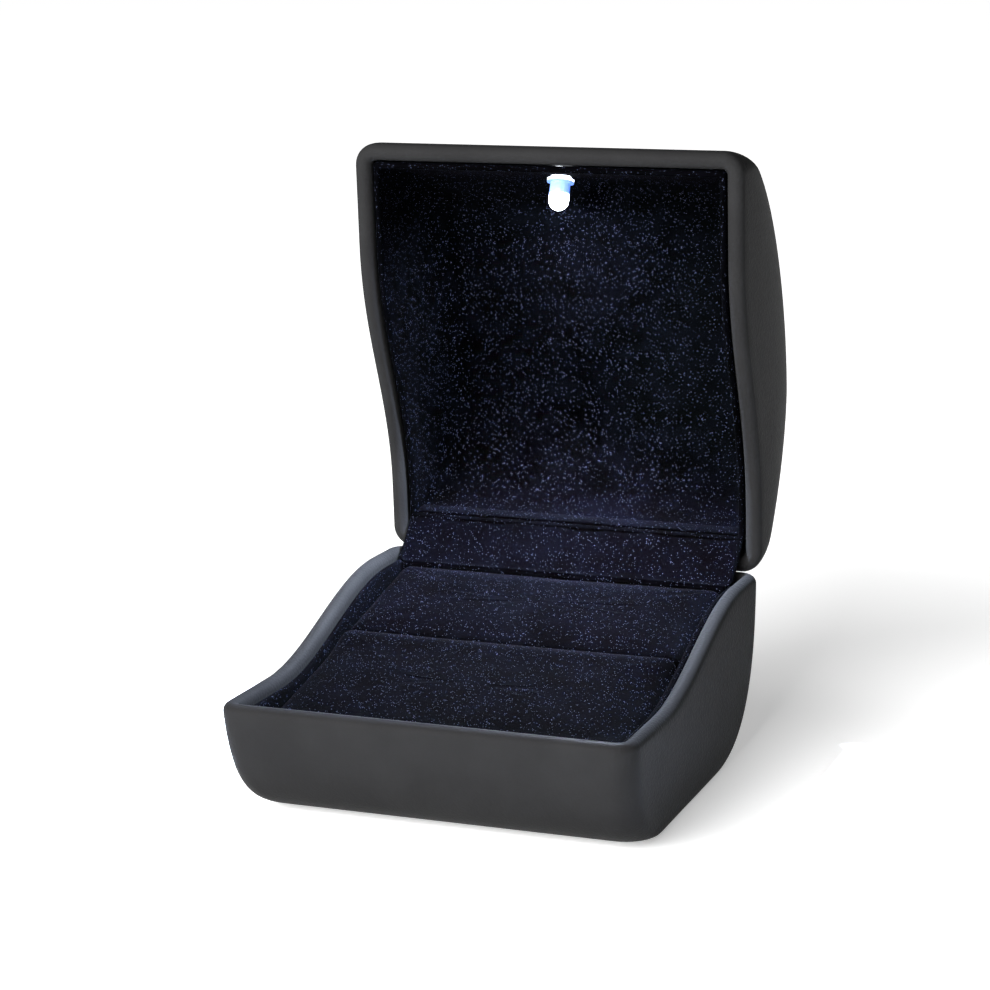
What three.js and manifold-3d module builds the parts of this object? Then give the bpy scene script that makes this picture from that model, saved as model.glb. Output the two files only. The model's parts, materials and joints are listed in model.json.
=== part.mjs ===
// A lit ring box standing open: moulded base and lid shells on two rear hinges,
// velvet-lined trays, a two-roll ring pad, and a small lamp with its cells in the lid.
// Millimetres, +Z up, front towards -Y, origin on the floor under the middle of the base.
import * as THREE from 'three';
import { mergeVertices } from 'three/addons/utils/BufferGeometryUtils.js';
import Module from 'manifold-3d';

const wasm = await Module();
wasm.setup();

// ---------- driving dimensions ----------
const HALF_W = 30; // outside half width
const HALF_D = 33; // outside half depth
const CORNER_R = 3.2; // upright corner radius in plan
const CORNER_GROWTH = 0.25; // corners get rounder as the walls draw in
const CORNER_MIN = 0.6; // tightest inside corner
const CORNER_SHARE = 0.7; // a corner takes at most this share of what is left of the plan
const PART_BACK = 26.8; // height of the parting line at the hinge
const PART_DROP = 9.2; // how much lower the parting line is at the front
const DROP_START = 10; // distance from the back where the S-curve starts down
const DROP_LENGTH = 40; // length of the S-curve
const HALF_PART_GAP = 0.15; // half the clearance between the two rims when shut
const WALL = 2.5; // shell wall
const RIM_R = WALL / 2; // rounded rim
const FLOOR = 2.4; // base floor thickness
const SIDE_DRAW = 1.8; // how far the base's side walls draw in at the floor
const END_DRAW = 18; // how far its front and rear walls draw in, into a rounded belly
const BASE_POWER = 2.7; // roundness of the base walls
const LID_DRAW = 3.2; // how far the lid walls draw in at the top
const LID_POWER = 2.4; // roundness of the lid walls
const LID_CROWN = 1.5; // rise of the lid's middle across its width
const PEAK_FROM_BACK = 24; // distance from the back to the lid's highest line
const PEAK_RISE = 25.5; // the lid's highest line above the hinge
const BACK_START = 4.4; // where the lid's arch begins over the hinge end
const FRONT_START = -8.8; // where the lid's arch begins over the front
const BACK_POWER = 1.6; // roundness of the arch behind its peak
const FRONT_POWER = 1.95; // roundness of the arch in front of its peak
const GAP = 0.3; // clearance between neighbouring pieces
const TRAY = 0.9; // velvet-covered tray thickness
const TRAY_SET = 1.3; // the trays stop this far inside the rims
const CABIN = 3.9; // room above the lid tray for the cells and the board
const REAR_ROOM = 1.8; // room behind the trays' rear walls for the hinges

const HINGE_Y = HALF_D - 0.6; // hinge axis, just inside the rear face
const OPEN_ANGLE = 85; // lid angle as it stands
const HINGE_X = 16; // hinges left and right of the middle
const HINGE_HALF = 4.5; // half the hinge width
const KNUCKLE_HALF = 1.5; // half width of the middle knuckle
const KNUCKLE_R = 1.1;
const KNUCKLE_BORE = 0.78;
const PIN_R = 0.45;
const LEAF = 0.5; // hinge strip thickness
const NOTCH_SIDE = 0.5; // clearance beside each hinge in the rims
const SCREW_X = 2.6; // screws either side of a hinge's middle
const SCREW = { headR: 0.9, head: 0.35, r: 0.4, holeR: 0.7, lift: 0.12, reach: 2, end: 0.3 };
const ARM_LIFT = 0.9; // the hinge arms leave the knuckles this far off the axis
const ARM = 0.6; // hinge arm thickness
const NOTCH_HALF_Z = 1.8; // half height of the notches in the rims
const NOTCH_REACH = 4.4; // how far they reach forward of the hinge axis
// Where a hinge plate is screwed down, on its wall side, with how far it runs down and up
// from there and where the arms join it. The lid is drawn shut.
const BASE_SEAT = {
  y: HINGE_Y - 2.65, z: PART_BACK - 6.5, tilt: 0, down: 2.9, up: 5.6, armFrom: HINGE_Y - 2.9,
};
const LID_SEAT = {
  y: HINGE_Y - 2.68, z: PART_BACK + 4.3, tilt: 12.2, down: 3.45, up: 2.8, armFrom: HINGE_Y - 2.3,
};

const PAD_TOP_MID = 19.6; // pad height at the middle of the box
const PAD_SLOPE = 0.2; // the pad climbs towards the back
const PAD_BOTTOM = 5.6;
const SLIT_Y = 3.5; // the ring slit stands behind the middle
const SLIT_HALF = 0.3;
const PAD_SHOULDER = 1; // the pad's top edge is cut back this far
const PAD_BOARD = { halfW: 23, halfD: 16.4, y: -0.9, z: 4.2, thick: 1, corner: 3 };
const FLAP_HALF_W = 25; // the velvet band covers the hinges almost from wall to wall
const FLAP_INSET = 0.3; // the band's edge behind the face of the lid tray's rear wall
const FLAP = 0.5; // band thickness
const FLAP_LIFT = 0.55; // the band clears the base tray's edge by this

const WIRE_R = 0.25;
const WIRE_X = 0.75; // wires left and right of the lamp's middle
const CHANNEL_HALF = 1.7; // half width of the wire channel in the lid wall
const CHANNEL_SKIN = 1.1; // shell left outside the channel
// The channel follows the front wall, at these fractions of its height, and then the top,
// at these distances from the front.
const CHANNEL_WALL = [0.25, 0.42, 0.6, 0.75, 0.9, 1];
const CHANNEL_TOP = [8, 11, 15, 20, 29];
const REED_WALL = [0.25, 0.42, 0.6];
const WIRE_DEPTH = 1.75; // the wires' depth below the outside skin
const WIRE_WALL = { black: [0.6, 0.75, 0.9, 1], red: [0.5, 0.6, 0.75, 0.9, 1] };
const WIRE_TOP = [8, 11, 15, 20, 25];
// Where the wires come down onto the board: y, and the height above it.
const WIRE_LANDING = [[-4.5, 1.7], [-3, 1.3]];
const LAMP_W = 0.92; // height fraction of the lamp on the front wall
const LAMP_TILT = 22; // the front wall leans in by this at the lamp
const LAMP = { r: 1.5, flangeR: 2, flange: 0.6, stand: 0.45, back: 1.2, tip: 5.2, hole: 1.85 };
const BOARD = { halfW: 14, y0: -6, y1: 15, rise: 19.2, thick: 0.7 };
const HOLDER = { halfW: 15, halfD: 7.6, y: 6.5, rise: 20.25, thick: 1.7, bore: 6.6 };
const CELL = { r: 6.25, thick: 1.6, x: 7.1 };
const STRAP = { halfW: 11, halfD: 2, rise: 22.25, thick: 0.25 };
const REED = { x0: 3, x1: 11, r: 0.5, lead: 0.2, leadLength: 0.9, w: 0.42, depth: 1.95 };
const MAGNET = { x: 7, halfW: 2.7, y0: -30.5, y1: -29.6, z0: 13.2, z1: 15.3 };

// Rows of each surface, as fractions of the height up its wall or of the way in over the lid.
const BASE_ROWS = [0, 0.012, 0.045, 0.1, 0.18, 0.3, 0.48, 0.74, 1];
const BASE_TRAY_ROWS = [0, 0.03, 0.09, 0.18, 0.32, 0.55, 1];
const PAD_ROWS = [0, 0.12, 0.27, 0.5, 0.93];
const LID_ROWS = [0, 0.2, 0.4, 0.58, 0.74, 0.86, 0.95, 1];
const LID_TRAY_ROWS = [0, 0.25, 0.5, 0.7, 0.84, 0.94, 1];
const CAP_ROWS = [0.06, 0.16, 0.32, 0.54, 0.78];
const RIM_STEPS = 6;
const ARC_STEPS = 5;
const BACK_STEPS = 4;
const SIDE_STEPS = 15;
const DEG = Math.PI / 180;

const finishes = {
  shell: { color: 0x2b2b2d, roughness: 0.5, metalness: 0 },
  velvet: { color: 0x06070c, roughness: 1, metalness: 0 },
  card: { color: 0x3a3733, roughness: 0.9, metalness: 0 },
  steel: { color: 0x9a9b9e, roughness: 0.35, metalness: 1 },
  lens: { color: 0xe8f0ff, roughness: 0.08, metalness: 0 },
  board: { color: 0x12482a, roughness: 0.6, metalness: 0 },
  moulding: { color: 0x18181a, roughness: 0.6, metalness: 0 },
  red: { color: 0xa31616, roughness: 0.5, metalness: 0 },
};

// ---------- geometry helpers ----------
// Skin over a stack of loops, closed by a point at each end, facing outwards.
function skin(firstPole, loops, lastPole) {
  const count = loops[0].length;
  const points = [firstPole, ...loops.flat(), lastPole];
  const last = points.length - 1;
  const at = (row, i) => 1 + row * count + (i % count);
  const faces = [];
  for (let i = 0; i < count; i += 1) {
    faces.push([0, at(0, i), at(0, i + 1)]);
    faces.push([last, at(loops.length - 1, i + 1), at(loops.length - 1, i)]);
    for (let row = 0; row < loops.length - 1; row += 1) {
      const [p, q, r, s] = [at(row, i), at(row, i + 1), at(row + 1, i + 1), at(row + 1, i)];
      faces.push([p, r, q], [p, s, r]);
    }
  }
  const volume = faces.reduce((sum, [a, b, c]) => (
    sum + points[a].dot(new THREE.Vector3().crossVectors(points[b], points[c]))), 0);
  const order = volume < 0 ? faces.map(([a, b, c]) => [a, c, b]) : faces;
  const geometry = new THREE.BufferGeometry();
  const positions = points.flatMap((p) => p.toArray());
  geometry.setAttribute('position', new THREE.Float32BufferAttribute(positions, 3));
  geometry.setIndex(order.flat());
  return geometry;
}

function toSolid(geometry) {
  const plain = geometry.clone();
  plain.deleteAttribute('normal');
  plain.deleteAttribute('uv');
  const merged = mergeVertices(plain, 1e-4);
  return new wasm.Manifold(new wasm.Mesh({
    numProp: 3,
    vertProperties: new Float32Array(merged.attributes.position.array),
    triVerts: new Uint32Array(merged.index.array),
  }));
}

function fromSolid(solid) {
  const mesh = solid.getMesh();
  const geometry = new THREE.BufferGeometry();
  geometry.setAttribute('position', new THREE.BufferAttribute(mesh.vertProperties, 3));
  geometry.setIndex(new THREE.BufferAttribute(mesh.triVerts, 1));
  return geometry;
}

function cut(geometry, tools) {
  return fromSolid(tools.reduce((solid, tool) => solid.subtract(toSolid(tool)), toSolid(geometry)));
}

function join(geometries) {
  const [first, ...others] = geometries.map(toSolid);
  return fromSolid(others.reduce((solid, other) => solid.add(other), first));
}

function keep(geometry, tool) {
  return fromSolid(toSolid(geometry).intersect(toSolid(tool)));
}

function block(x0, x1, y0, y1, z0, z1) {
  const geometry = new THREE.BoxGeometry(x1 - x0, y1 - y0, z1 - z0);
  return geometry.translate((x0 + x1) / 2, (y0 + y1) / 2, (z0 + z1) / 2);
}

// A side outline of [y, z] points stretched along X from x0 to x1, with an optional round hole.
function sideExtrude(points, x0, x1, hole) {
  const shape = new THREE.Shape(points.map(([y, z]) => new THREE.Vector2(y, z)));
  if (hole) shape.holes.push(new THREE.Path(circle(hole.y, hole.z, hole.r, hole.sides)));
  const geometry = new THREE.ExtrudeGeometry(shape, { depth: x1 - x0, bevelEnabled: false });
  const turn = new THREE.Matrix4().set(0, 0, 1, x0, 1, 0, 0, 0, 0, 1, 0, 0, 0, 0, 0, 1);
  return geometry.applyMatrix4(turn);
}

function circle(x, y, r, sides) {
  return Array.from({ length: sides }, (_, i) => {
    const angle = (i / sides) * 2 * Math.PI;
    return new THREE.Vector2(x + r * Math.cos(angle), y + r * Math.sin(angle));
  });
}

function tube(points, radius, sides, steps) {
  const extrudePath = new THREE.CatmullRomCurve3(points);
  const ring = new THREE.Shape(circle(0, 0, radius, sides));
  return new THREE.ExtrudeGeometry(ring, { steps, extrudePath, bevelEnabled: false });
}

function rod(radius, length, sides) {
  return new THREE.CylinderGeometry(radius, radius, length, sides);
}

function add(parent, name, geometry, finish) {
  const mesh = new THREE.Mesh(geometry, new THREE.MeshStandardMaterial(finishes[finish]));
  mesh.name = name;
  parent.add(mesh);
  return mesh;
}

// ---------- the shared outline and parting line ----------
// Stations round a rounded rectangle: where the corner centre is, and the angle on its arc.
function turn() {
  const corners = [[1, 1], [-1, 1], [-1, -1], [1, -1]];
  return corners.flatMap(([sx, sy], quadrant) => {
    const along = quadrant % 2 === 0 ? SIDE_STEPS : BACK_STEPS;
    const straight = Array.from({ length: along }, (_, i) => {
      const lag = 2 * (1 - i / along);
      const fromX = quadrant % 2 === 0 ? sx : sx + lag * -sx;
      const fromY = quadrant % 2 === 0 ? sy - lag * sy : sy;
      return { sx: fromX, sy: fromY, angle: quadrant * 90 * DEG };
    });
    const arc = Array.from({ length: ARC_STEPS }, (_, i) => (
      { sx, sy, angle: (quadrant + i / ARC_STEPS) * 90 * DEG }));
    return [...straight, ...arc];
  });
}
const STATIONS = turn();
const FULL_PLAN = { halfW: HALF_W, halfD: HALF_D, y: 0 };
const TRAY_PLAN = { halfW: HALF_W, halfD: HALF_D - REAR_ROOM / 2, y: -REAR_ROOM / 2 };

// An inset is { side, end }: how far the side walls and the front and rear walls come in.
const inset = (side, end) => ({ side, end });
const deeper = (base, by) => inset(base.side + by, base.end + by);

function place(station, { side, end }, offset, plan) {
  const room = Math.min(plan.halfW - side, plan.halfD - end);
  const wanted = CORNER_R - offset + CORNER_GROWTH * ((side + end) / 2 - offset);
  const r = Math.min(Math.max(wanted, CORNER_MIN), room * CORNER_SHARE);
  const x = station.sx * (plan.halfW - side - r) + r * Math.cos(station.angle);
  const y = station.sy * (plan.halfD - end - r) + r * Math.sin(station.angle) + plan.y;
  return { x, y };
}

// One loop: insetOf(y) draws each station in, heightOf(y) lifts it.
function loop(insetOf, heightOf, offset, plan = FULL_PLAN) {
  return STATIONS.map((station) => {
    const full = place(station, inset(0, 0), 0, plan);
    const { x, y } = place(station, insetOf(full.y), offset, plan);
    return new THREE.Vector3(x, y, heightOf(y));
  });
}

function parting(y) {
  const along = THREE.MathUtils.clamp((HALF_D - y - DROP_START) / DROP_LENGTH, 0, 1);
  return PART_BACK - PART_DROP * (1 - Math.cos(Math.PI * along)) / 2;
}

function draw(depth, power, fraction) {
  return depth * (1 - (1 - fraction ** power) ** (1 / power));
}

function baseDraw(z) {
  const fraction = 1 - z / PART_BACK;
  return inset(draw(SIDE_DRAW, BASE_POWER, fraction), draw(END_DRAW, BASE_POWER, fraction));
}

const baseRimZ = (y) => parting(y) - HALF_PART_GAP - RIM_R;
const lidRimZ = (y) => parting(y) + HALF_PART_GAP + RIM_R;
const rimDraw = (y) => baseDraw(baseRimZ(y));
const halfTurn = Array.from({ length: RIM_STEPS - 1 }, (_, i) => ((i + 1) / RIM_STEPS) * Math.PI);

// ---------- base shell, tray and pad ----------
// Inset of a surface lying `off` inside the base cavity, at height z.
function cavityDraw(z, y, off) {
  const rim = baseRimZ(y);
  const share = THREE.MathUtils.clamp((z - off - FLOOR) / (rim - FLOOR), 0, 1);
  return deeper(baseDraw(rim * share), WALL + off);
}

function baseShell() {
  const outside = BASE_ROWS.map((w) => (
    loop((y) => baseDraw(baseRimZ(y) * w), (y) => baseRimZ(y) * w, 0)));
  const rim = halfTurn.map((a) => {
    const across = RIM_R * (1 - Math.cos(a));
    return loop((y) => deeper(rimDraw(y), across), (y) => baseRimZ(y) + RIM_R * Math.sin(a), across);
  });
  const inside = BASE_ROWS.toReversed().map((w) => loop(
    (y) => deeper(baseDraw(baseRimZ(y) * w), WALL),
    (y) => FLOOR + (baseRimZ(y) - FLOOR) * w,
    WALL,
  ));
  const low = new THREE.Vector3(0, 0, 0);
  const body = skin(low, [...outside, ...rim, ...inside], new THREE.Vector3(0, 0, FLOOR));
  const pocket = block(
    MAGNET.x - MAGNET.halfW - GAP,
    MAGNET.x + MAGNET.halfW + GAP,
    MAGNET.y0 - GAP,
    MAGNET.y1 + GAP * 2,
    MAGNET.z0 - GAP,
    MAGNET.z1 + GAP,
  );
  return cut(body, [pocket, ...hingeNotches(), ...screwHoles(BASE_SEAT)]);
}

function baseTray() {
  const top = (y) => parting(y) - HALF_PART_GAP - TRAY_SET;
  const wall = (off, list) => list.map((w) => loop(
    (y) => cavityDraw(FLOOR + off + (top(y) - FLOOR - off) * w, y, off),
    (y) => FLOOR + off + (top(y) - FLOOR - off) * w,
    WALL + off,
    TRAY_PLAN,
  ));
  const loops = [...wall(GAP, BASE_TRAY_ROWS), ...wall(GAP + TRAY, BASE_TRAY_ROWS.toReversed())];
  const middle = (z) => new THREE.Vector3(0, TRAY_PLAN.y, z);
  return skin(middle(FLOOR + GAP), loops, middle(FLOOR + GAP + TRAY));
}

// The whole pad, before it is slit into its two rolls.
function padBlank() {
  const off = GAP + TRAY + GAP * 2;
  const top = (y) => PAD_TOP_MID + PAD_SLOPE * y;
  const side = PAD_ROWS.map((w) => loop(
    (y) => cavityDraw(PAD_BOTTOM + (top(y) - PAD_BOTTOM) * w, y, off),
    (y) => PAD_BOTTOM + (top(y) - PAD_BOTTOM) * w,
    WALL + off,
    TRAY_PLAN,
  ));
  const shoulder = loop(
    (y) => deeper(cavityDraw(top(y), y, off), PAD_SHOULDER),
    top,
    WALL + off,
    TRAY_PLAN,
  );
  const middle = (z) => new THREE.Vector3(0, TRAY_PLAN.y, z);
  return skin(middle(PAD_BOTTOM), [...side, shoulder], middle(top(TRAY_PLAN.y)));
}

function padRoll(front) {
  const [y0, y1] = front ? [-HALF_D, SLIT_Y - SLIT_HALF] : [SLIT_Y + SLIT_HALF, HALF_D];
  return keep(padBlank(), block(-HALF_W, HALF_W, y0, y1, 0, PART_BACK));
}

function padBoard() {
  const { halfW, halfD, y, z, thick, corner } = PAD_BOARD;
  const shape = new THREE.Shape();
  shape.moveTo(-halfW + corner, y - halfD);
  shape.lineTo(halfW - corner, y - halfD);
  shape.absarc(halfW - corner, y - halfD + corner, corner, -90 * DEG, 0);
  shape.lineTo(halfW, y + halfD - corner);
  shape.absarc(halfW - corner, y + halfD - corner, corner, 0, 90 * DEG);
  shape.lineTo(-halfW + corner, y + halfD);
  shape.absarc(-halfW + corner, y + halfD - corner, corner, 90 * DEG, 180 * DEG);
  shape.lineTo(-halfW, y - halfD + corner);
  shape.absarc(-halfW + corner, y - halfD + corner, corner, 180 * DEG, 270 * DEG);
  const options = { depth: thick, bevelEnabled: false, curveSegments: 4 };
  return new THREE.ExtrudeGeometry(shape, options).translate(0, 0, z);
}

// ---------- lid shell and tray, drawn shut ----------
// Height of a lid surface lying `off` inside the outside skin, and `sunk` lower at its peak.
function arch(y, off, sunk) {
  const ahead = HALF_D - y - PEAK_FROM_BACK;
  const back = ahead < 0;
  const reach = (back ? PEAK_FROM_BACK : 2 * HALF_D - PEAK_FROM_BACK) - off;
  const start = back ? BACK_START : FRONT_START;
  const power = back ? BACK_POWER : FRONT_POWER;
  const part = Math.min(Math.abs(ahead) / reach, 1);
  return PART_BACK + start + (PEAK_RISE - off - sunk - start) * (1 - part ** power) ** (1 / power);
}

function lidSkin(off, sunk, crown, rows, plan) {
  const wall = rows.map((w) => loop(
    (y) => deeper(rimDraw(y), off + draw(LID_DRAW, LID_POWER, w)),
    (y) => lidRimZ(y) + (arch(y, off, sunk) - lidRimZ(y)) * w,
    off,
    plan,
  ));
  const cap = CAP_ROWS.map((share) => loop(
    () => deeper(inset(0, 0), off + LID_DRAW + share * (HALF_W - off - LID_DRAW)),
    (y) => arch(y, off, sunk) + crown * (1 - (1 - share) ** 2),
    off,
    plan,
  ));
  return [...wall, ...cap];
}

const lidPeak = (off, sunk, crown, plan) => (
  new THREE.Vector3(0, plan.y, arch(plan.y, off, sunk) + crown));

// Points [y, z] up the middle of the lid's front wall and on over its top, `off` inside.
function frontLine(off, rows, topDepths) {
  const wall = rows.map((w) => {
    const y = -HALF_D + rimDraw(-HALF_D).end + off + draw(LID_DRAW, LID_POWER, w);
    return [y, lidRimZ(y) + (arch(y, off, 0) - lidRimZ(y)) * w];
  });
  const top = topDepths.map((depth) => {
    const y = -HALF_D + depth;
    const share = (depth - off - LID_DRAW) / (HALF_W - off - LID_DRAW);
    return [y, arch(y, off, 0) + LID_CROWN * (1 - (1 - share) ** 2)];
  });
  return [...wall, ...top];
}

function channel(halfWidth, x, rows, topDepths) {
  const outer = frontLine(CHANNEL_SKIN, rows, topDepths);
  const inner = frontLine(WALL + GAP, rows, topDepths).toReversed();
  return sideExtrude([...outer, ...inner], x - halfWidth, x + halfWidth);
}

function lidShell() {
  const outer = lidSkin(0, 0, LID_CROWN, LID_ROWS, FULL_PLAN);
  const inner = lidSkin(WALL, 0, LID_CROWN, LID_ROWS, FULL_PLAN);
  const rim = halfTurn.map((a) => {
    const across = RIM_R * (1 - Math.cos(a));
    return loop((y) => deeper(rimDraw(y), across), (y) => lidRimZ(y) - RIM_R * Math.sin(a), across);
  });
  const body = skin(
    lidPeak(0, 0, LID_CROWN, FULL_PLAN),
    [...outer.toReversed(), ...rim, ...inner],
    lidPeak(WALL, 0, LID_CROWN, FULL_PLAN),
  );
  const reedX = (REED.x0 + REED.x1) / 2;
  const reedHalf = (REED.x1 - REED.x0) / 2 + REED.leadLength + GAP;
  return cut(body, [
    channel(CHANNEL_HALF, 0, CHANNEL_WALL, CHANNEL_TOP),
    channel(reedHalf, reedX, REED_WALL, []),
    ...hingeNotches(),
    ...screwHoles(LID_SEAT),
  ]);
}

// Moves a piece drawn along +Y onto the lid tray's front wall, pointing into the lid.
function lampFrame() {
  const off = WALL + GAP + TRAY;
  const y = -HALF_D + rimDraw(-HALF_D).end + off + draw(LID_DRAW, LID_POWER, LAMP_W);
  const z = lidRimZ(y) + (arch(y, off, CABIN) - lidRimZ(y)) * LAMP_W;
  const turned = new THREE.Matrix4().makeRotationX(-LAMP_TILT * DEG);
  return new THREE.Matrix4().makeTranslation(0, y, z).multiply(turned);
}

function lidTray() {
  const off = WALL + GAP;
  const outer = lidSkin(off, CABIN, 0, LID_TRAY_ROWS, TRAY_PLAN);
  const inner = lidSkin(off + TRAY, CABIN, 0, LID_TRAY_ROWS, TRAY_PLAN);
  const loops = [...outer.toReversed(), ...inner];
  const body = skin(
    lidPeak(off, CABIN, 0, TRAY_PLAN),
    loops,
    lidPeak(off + TRAY, CABIN, 0, TRAY_PLAN),
  );
  const hole = rod(LAMP.hole, TRAY * 4, 16).applyMatrix4(lampFrame());
  return cut(body, [hole]);
}

// ---------- hinges ----------
const HINGES = [['left', -HINGE_X], ['right', HINGE_X]];

function hingeNotches() {
  return HINGES.map(([, x]) => block(
    x - HINGE_HALF - NOTCH_SIDE,
    x + HINGE_HALF + NOTCH_SIDE,
    HINGE_Y - NOTCH_REACH,
    HALF_D + 1,
    PART_BACK - NOTCH_HALF_Z,
    PART_BACK + NOTCH_HALF_Z,
  ));
}

function seatFrame(x, { y, z, tilt }) {
  const turned = new THREE.Matrix4().makeRotationX(tilt * DEG);
  return new THREE.Matrix4().makeTranslation(x, y, z).multiply(turned);
}

const screwXs = (x) => [x - SCREW_X, x + SCREW_X];

// Holes where the screws enter a shell wall.
function screwHoles(seat) {
  const length = SCREW.reach + SCREW.end;
  return HINGES.flatMap(([, x]) => screwXs(x)).map((x) => (
    rod(SCREW.holeR, length, 8).translate(0, length / 2, 0).applyMatrix4(seatFrame(x, seat))));
}

function screw(x, seat) {
  const under = -(LEAF + SCREW.lift);
  const profile = [
    [0, under - SCREW.head],
    [SCREW.headR, under - SCREW.head],
    [SCREW.headR, under],
    [SCREW.r, under],
    [SCREW.r, SCREW.reach],
    [0, SCREW.reach],
  ].map(([r, along]) => new THREE.Vector2(r, along));
  return new THREE.LatheGeometry(profile, 10).applyMatrix4(seatFrame(x, seat));
}

function knuckle(x0, x1) {
  const ring = circle(HINGE_Y, PART_BACK, KNUCKLE_R, 14).map((p) => [p.x, p.y]);
  const bore = { y: HINGE_Y, z: PART_BACK, r: KNUCKLE_BORE, sides: 12 };
  return sideExtrude(ring, x0, x1, bore);
}

// One side of a hinge: knuckles over `spans`, an arm on each, and the screwed plate.
// `side` is 1 where the plate lies above the axis and -1 below.
function leaf(x, seat, spans, side) {
  const near = PART_BACK + side * ARM_LIFT;
  const far = near + side * ARM;
  const outline = [[seat.armFrom, near], [HINGE_Y, near], [HINGE_Y, far], [seat.armFrom, far]];
  const pieces = spans.flatMap(([x0, x1]) => [
    knuckle(x + x0, x + x1),
    sideExtrude(outline, x + x0, x + x1),
  ]);
  const plate = block(-HINGE_HALF, HINGE_HALF, -LEAF, 0, -seat.down, seat.up)
    .applyMatrix4(seatFrame(x, seat));
  const holes = screwXs(x).map((at) => (
    rod(SCREW.holeR, LEAF * 6, 8).applyMatrix4(seatFrame(at, seat))));
  return cut(join([plate, ...pieces]), holes);
}

function baseLeaf(x) {
  const start = KNUCKLE_HALF + GAP;
  return leaf(x, BASE_SEAT, [[-HINGE_HALF, -start], [start, HINGE_HALF]], -1);
}

const lidLeaf = (x) => leaf(x, LID_SEAT, [[-KNUCKLE_HALF, KNUCKLE_HALF]], 1);

// The velvet band from behind the pad up to the open lid's tray, covering both hinges.
function hingeFlap() {
  const rear = HALF_D - REAR_ROOM - WALL - GAP;
  const baseEdge = PART_BACK - HALF_PART_GAP - TRAY_SET;
  const lidEdge = PART_BACK + HALF_PART_GAP + TRAY_SET;
  const turned = new THREE.Matrix4().makeRotationX(-OPEN_ANGLE * DEG);
  const opened = (y, z) => {
    const point = new THREE.Vector3(0, y - HINGE_Y, z - PART_BACK).applyMatrix4(turned);
    return [point.y + HINGE_Y, point.z + PART_BACK];
  };
  const outline = [
    [rear - FLAP_INSET, baseEdge + FLAP_LIFT],
    opened(rear - FLAP_INSET, lidEdge - FLAP_INSET),
    opened(rear - FLAP_INSET - FLAP * Math.SQRT1_2, lidEdge - FLAP_INSET - FLAP * Math.SQRT1_2),
    [rear - FLAP_INSET - FLAP * Math.SQRT1_2, baseEdge + FLAP_LIFT + FLAP * Math.SQRT1_2],
  ];
  return sideExtrude(outline, -FLAP_HALF_W, FLAP_HALF_W);
}

// ---------- lamp and its supply, drawn with the lid shut ----------
function lamp() {
  const { r, flangeR, flange, stand, back, tip } = LAMP;
  const dome = Array.from({ length: 5 }, (_, i) => {
    const angle = (i / 5) * 90 * DEG;
    return [r * Math.cos(angle), tip - r + r * Math.sin(angle)];
  });
  const profile = [
    [0, -back],
    [r, -back],
    [r, stand],
    [flangeR, stand],
    [flangeR, stand + flange],
    [r, stand + flange],
    ...dome,
    [0, tip],
  ].map(([radius, along]) => new THREE.Vector2(radius, along));
  return new THREE.LatheGeometry(profile, 16).applyMatrix4(lampFrame());
}

function wire(x, rows) {
  const wall = frontLine(WIRE_DEPTH, rows, WIRE_TOP);
  const landing = WIRE_LANDING.map(([y, above]) => [y, PART_BACK + BOARD.rise + above]);
  const points = [...wall, ...landing].map(([y, z]) => new THREE.Vector3(x, y, z));
  return tube(points, WIRE_R, 6, 30);
}

function reed() {
  const { x0, x1, r, lead, leadLength } = REED;
  const profile = [
    [0, x0 - leadLength],
    [lead, x0 - leadLength],
    [lead, x0],
    [r, x0 + r],
    [r, x1 - r],
    [lead, x1],
    [lead, x1 + leadLength],
    [0, x1 + leadLength],
  ].map(([radius, along]) => new THREE.Vector2(radius, along));
  const [[y, z]] = frontLine(REED.depth, [REED.w], []);
  return new THREE.LatheGeometry(profile, 10).rotateZ(-90 * DEG).translate(0, y, z);
}

function holder() {
  const { halfW, halfD, y, rise, thick, bore } = HOLDER;
  const frame = block(-halfW, halfW, y - halfD, y + halfD, PART_BACK + rise, PART_BACK + rise + thick);
  const wells = [-CELL.x, CELL.x].map((x) => (
    rod(bore, thick * 3, 24).rotateX(90 * DEG).translate(x, y, PART_BACK + rise)));
  return cut(frame, wells);
}

function cell(x) {
  const z = PART_BACK + HOLDER.rise + CELL.thick / 2;
  return rod(CELL.r, CELL.thick, 24).rotateX(90 * DEG).translate(x, HOLDER.y, z);
}

// ---------- assembly ----------
const box = new THREE.Group();
add(box, 'base_shell', baseShell(), 'shell');
add(box, 'base_tray', baseTray(), 'velvet');
add(box, 'ring_pad_board', padBoard(), 'card');
add(box, 'ring_pad_front_roll', padRoll(true), 'velvet');
add(box, 'ring_pad_rear_roll', padRoll(false), 'velvet');
add(box, 'switch_magnet', block(
  MAGNET.x - MAGNET.halfW,
  MAGNET.x + MAGNET.halfW,
  MAGNET.y0,
  MAGNET.y1,
  MAGNET.z0,
  MAGNET.z1,
), 'steel');
add(box, 'hinge_flap', hingeFlap(), 'velvet');

const hingeLine = new THREE.Group();
hingeLine.position.set(0, HINGE_Y, PART_BACK);
hingeLine.rotation.x = -OPEN_ANGLE * DEG;
const lid = new THREE.Group();
lid.position.set(0, -HINGE_Y, -PART_BACK);
hingeLine.add(lid);
box.add(hingeLine);

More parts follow.
